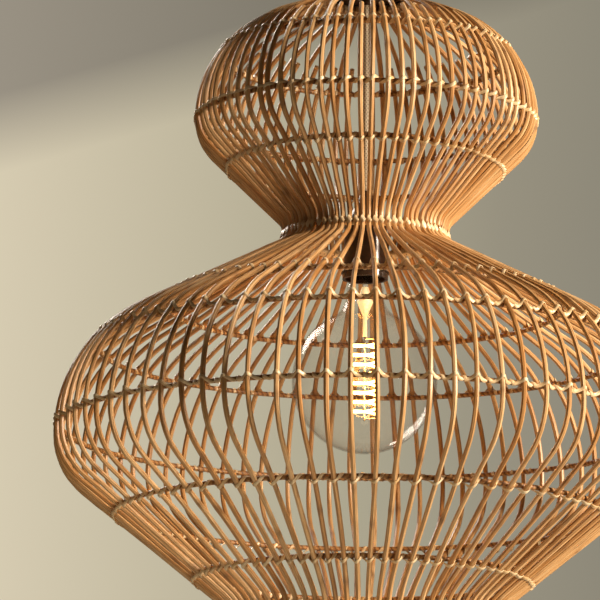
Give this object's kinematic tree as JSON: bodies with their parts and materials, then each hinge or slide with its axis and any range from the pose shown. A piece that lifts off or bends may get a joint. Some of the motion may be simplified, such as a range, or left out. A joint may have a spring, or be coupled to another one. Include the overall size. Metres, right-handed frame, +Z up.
{
  "type": "pendant ceiling light",
  "caption": "Hourglass pendant light of bent rattan canes lashed to hoops, hung on a cord from a ceiling rose, with a lamp-holder and a globe bulb inside.",
  "frame": {"origin": "centre of the ceiling bar's top face, on the lamp's axis, where the lamp meets the ceiling", "axes": "+Z up the lamp's axis into the ceiling; +X along the ceiling bar; -Y is the side seen in front"},
  "size_m": [0.5326, 0.5326, 0.7294],
  "materials": {
    "cane": "satin",
    "hoop": "satin",
    "binding": "satin",
    "cord": "matte",
    "rose": "satin",
    "dark_fitting": "satin",
    "holder": "gloss",
    "zinc": "satin",
    "brass": "satin",
    "block": "matte",
    "wire": "matte",
    "ceramic": "gloss",
    "glass": "clear",
    "stem_glass": "clear",
    "filament": "glowing"
  },
  "bodies": {
    "ceiling": {"mount_bar": "zinc", "ceiling_rose": "rose", "rose_screws": "zinc", "ceiling_grip": "dark_fitting", "ceiling_grip_nut": "zinc", "terminal_block": "block", "terminal_tubes": "brass", "terminal_screws": "zinc", "cord_tail": "cord"},
    "cord": {"cord_upper": "cord"},
    "shade": {"cord_lower": "cord", "neck_plate": "dark_fitting", "neck_plate_screws": "zinc", "neck_grip": "dark_fitting", "neck_grip_nut": "zinc", "long_canes_1": "cane", "long_canes_2": "cane", "long_canes_3": "cane", "long_canes_4": "cane", "short_canes_1": "cane", "short_canes_2": "cane", "short_canes_3": "cane", "short_canes_4": "cane", "neck_hoop": "hoop", "upper_shoulder_hoop": "hoop", "upper_lobe_hoop": "hoop", "upper_tuck_hoop": "hoop", "waist_hoop": "hoop", "lower_flare_hoop": "hoop", "lower_shoulder_hoop": "hoop", "lower_lobe_hoop": "hoop", "lower_tuck_hoop": "hoop", "lower_base_hoop": "hoop", "mouth_hoop": "hoop", "neck_binding": "binding", "upper_shoulder_binding": "binding", "upper_lobe_binding": "binding", "upper_tuck_binding": "binding", "waist_binding": "binding", "lower_flare_binding": "binding", "lower_shoulder_binding": "binding", "lower_lobe_binding": "binding", "lower_tuck_binding": "binding", "lower_base_binding": "binding", "mouth_binding": "binding", "holder_shell": "holder", "holder_cap": "holder", "holder_ring": "holder", "holder_insulator": "ceramic", "screw_shell": "brass", "centre_contact": "brass", "holder_wires": "wire"},
    "bulb": {"bulb_glass": "glass", "bulb_cap": "zinc", "bulb_insulator": "holder", "bulb_tip": "zinc", "bulb_stem": "stem_glass", "bulb_leads": "zinc", "bulb_filament": "filament"}
  },
  "joints": [
    {"name": "cord_swing", "type": "hinge", "parent": "ceiling", "child": "cord", "pos_m": [0, 0, -0.054], "axis": [1, 0, 0], "range_deg": [-12, 12]},
    {"name": "shade_swing", "type": "hinge", "parent": "cord", "child": "shade", "pos_m": [0, 0, -0.1389], "axis": [0, 1, 0], "range_deg": [-12, 12]},
    {"name": "bulb_out", "type": "slide", "parent": "shade", "child": "bulb", "axis": [0, 0, -1], "range_m": [0, 0.03]}
  ]
}
